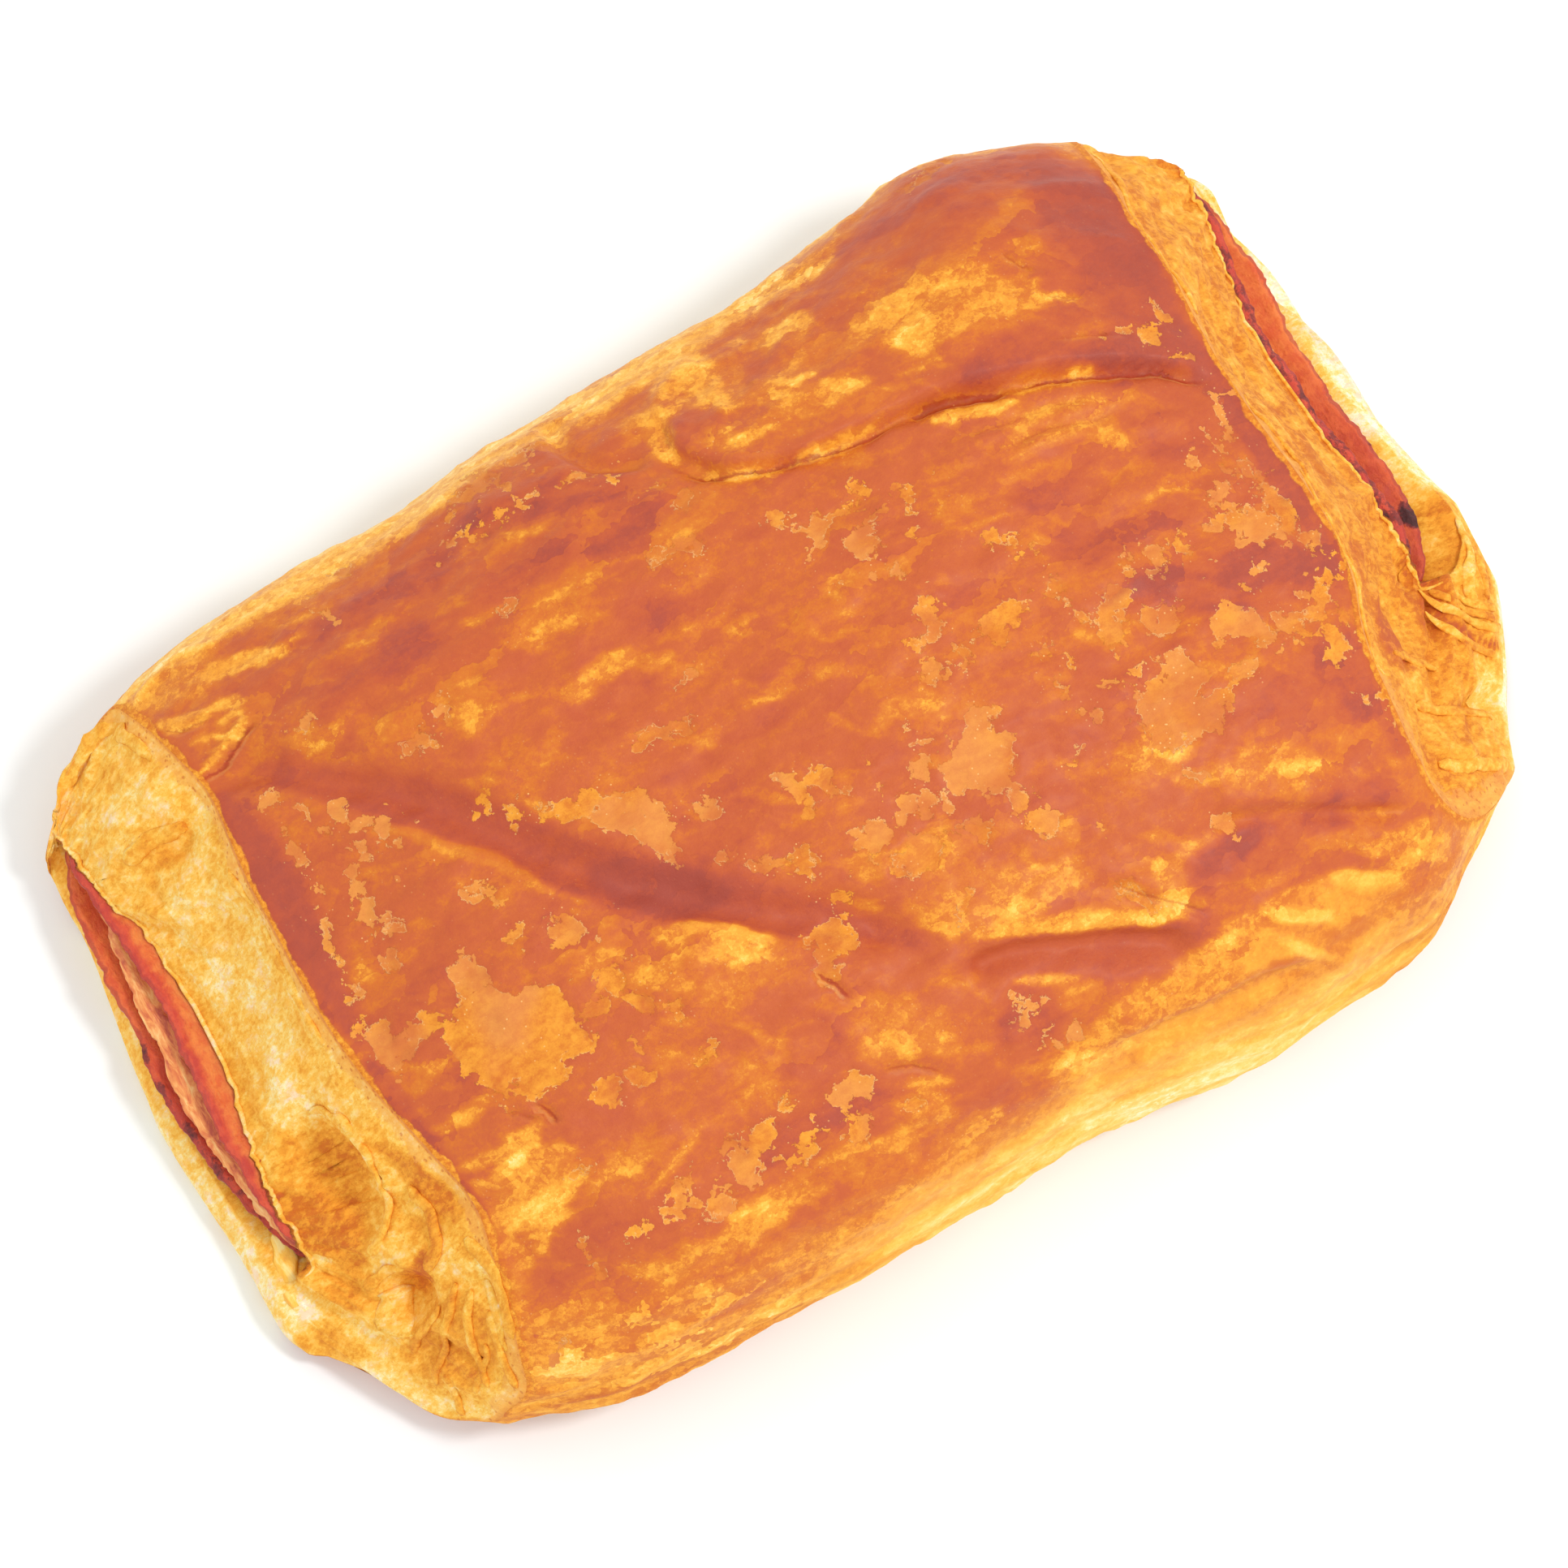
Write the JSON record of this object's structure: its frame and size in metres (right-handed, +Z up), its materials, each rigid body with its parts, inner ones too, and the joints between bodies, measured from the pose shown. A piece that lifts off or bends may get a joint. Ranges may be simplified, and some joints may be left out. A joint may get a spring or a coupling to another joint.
{
  "type": "ham and cheese pastry",
  "caption": "Rectangular folded puff pastry, open at both short ends, with ham and melted cheese running through and showing at the ends.",
  "frame": {"origin": "under the middle of the pastry's outline, on the surface that it rests on", "axes": "+X along the length, towards the end that shows the broader slice of ham; +Y across, towards the side whose far corner swells; +Z up"},
  "size_m": [0.1334, 0.0872, 0.0366],
  "materials": {
    "pastry": "baked puff pastry: egg-glazed orange-brown top with paler flaked patches, pale layered cut ends",
    "ham": "cooked ham, moist, darker and partly burnt at its cut edge",
    "cheese": "melted cheese, smooth and slightly oily"
  },
  "bodies": {
    "root": {"pastry": "pastry", "ham_lower": "ham", "cheese": "cheese", "ham_upper": "ham"}
  },
  "joints": []
}
